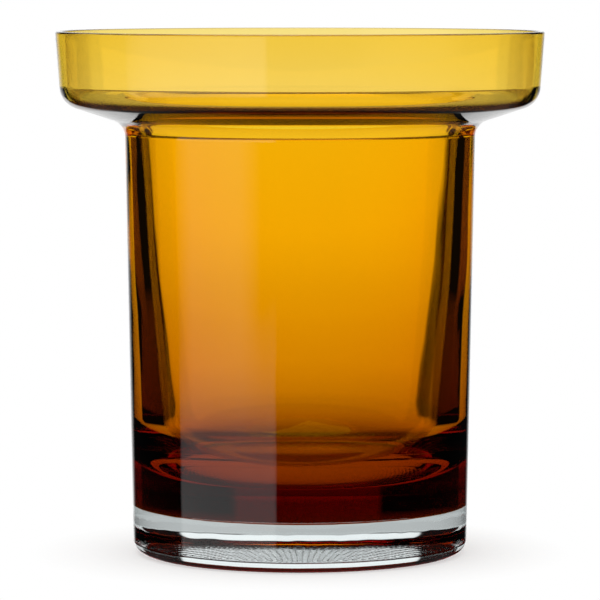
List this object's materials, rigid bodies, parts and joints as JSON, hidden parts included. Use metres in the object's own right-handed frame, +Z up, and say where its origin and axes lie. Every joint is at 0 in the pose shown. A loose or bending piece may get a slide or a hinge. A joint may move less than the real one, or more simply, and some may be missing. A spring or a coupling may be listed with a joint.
{
  "type": "hyacinth forcing vase",
  "caption": "Amber glass bulb forcing vase: a heavy tumbler body with a wide shallow collar, fused onto a clear glass base.",
  "frame": {"origin": "on the table, at the middle of the base", "axes": "+Z up along the axis of the vase; X and Y are alike, because the vase is round"},
  "size_m": [0.0934, 0.0934, 0.1],
  "materials": {
    "amber_glass": "polished, coloured through",
    "clear_glass": "polished, with a finely stippled underside"
  },
  "bodies": {
    "root": {"amber_cup": "amber_glass", "clear_base": "clear_glass"}
  },
  "joints": []
}
